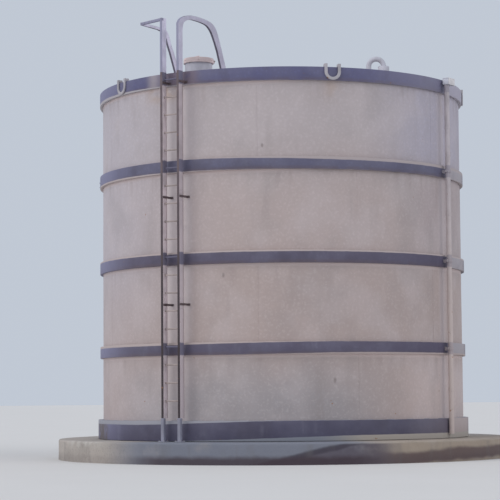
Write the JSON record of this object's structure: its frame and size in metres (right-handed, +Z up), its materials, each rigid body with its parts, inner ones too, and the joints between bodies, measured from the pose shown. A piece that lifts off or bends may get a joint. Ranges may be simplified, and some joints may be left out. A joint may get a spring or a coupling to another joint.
{
  "type": "vertical storage tank",
  "caption": "Round closed storage tank with a low cone roof, dark hoop bands, an outside ladder with walk-through handrails, an overflow pipe and a raised round plinth.",
  "frame": {"origin": "centre of the plinth's underside, at ground level", "axes": "+Z up along the tank's axis; the ladder stands towards -X and -Y, the overflow pipe towards +X and -Y"},
  "size_m": [9.1, 9.1, 8.4815],
  "materials": {
    "concrete": "weathered cast concrete, sooty and limed in patches, matte",
    "shell_paint": "faded pinkish grey paint, matte",
    "band_paint": "dark slate-blue paint, matte",
    "ladder_paint": "lilac-grey paint with dark edges, satin",
    "ladder_foot_paint": "lilac-grey paint, satin",
    "bracket_rust": "dark brown rusted paint, matte",
    "hatch_paint": "faded tan paint, matte",
    "vent_paint": "pale lilac-grey paint, matte",
    "lug_paint": "dull cream paint, matte",
    "pipe_paint": "warm pale grey paint with rust bloom, matte"
  },
  "bodies": {
    "root": {"base_band": "band_paint", "handrail_left": "ladder_paint", "handrail_right": "ladder_paint", "hatch_lid": "hatch_paint", "hatch_neck": "vent_paint", "ladder_bracket_lower_left": "bracket_rust", "ladder_bracket_lower_right": "bracket_rust", "ladder_bracket_middle_left": "bracket_rust", "ladder_bracket_middle_right": "bracket_rust", "ladder_bracket_upper_left": "bracket_rust", "ladder_bracket_upper_right": "bracket_rust", "ladder_foot_left": "ladder_foot_paint", "ladder_foot_right": "ladder_foot_paint", "ladder_lower": "ladder_paint", "ladder_middle": "ladder_paint", "ladder_upper": "ladder_paint", "lifting_lug_1": "lug_paint", "lifting_lug_2": "lug_paint", "lifting_lug_3": "lug_paint", "lifting_lug_4": "lug_paint", "lifting_lug_5": "lug_paint", "lower_hoop": "band_paint", "middle_hoop": "band_paint", "overflow_hopper": "lug_paint", "overflow_nozzle": "band_paint", "overflow_pipe": "pipe_paint", "pipe_clip_lower": "pipe_paint", "pipe_clip_middle": "pipe_paint", "pipe_clip_upper": "pipe_paint", "plinth": "concrete", "roof": "shell_paint", "roof_vent": "vent_paint", "tank_floor": "shell_paint", "top_curb": "band_paint", "upper_hoop": "band_paint", "vent_neck": "vent_paint", "wall_panel_1": "shell_paint", "wall_panel_2": "shell_paint", "wall_panel_3": "shell_paint", "wall_panel_4": "shell_paint", "wall_panel_5": "shell_paint", "wall_panel_6": "shell_paint", "wall_panel_7": "shell_paint", "wall_panel_8": "shell_paint"}
  },
  "joints": []
}
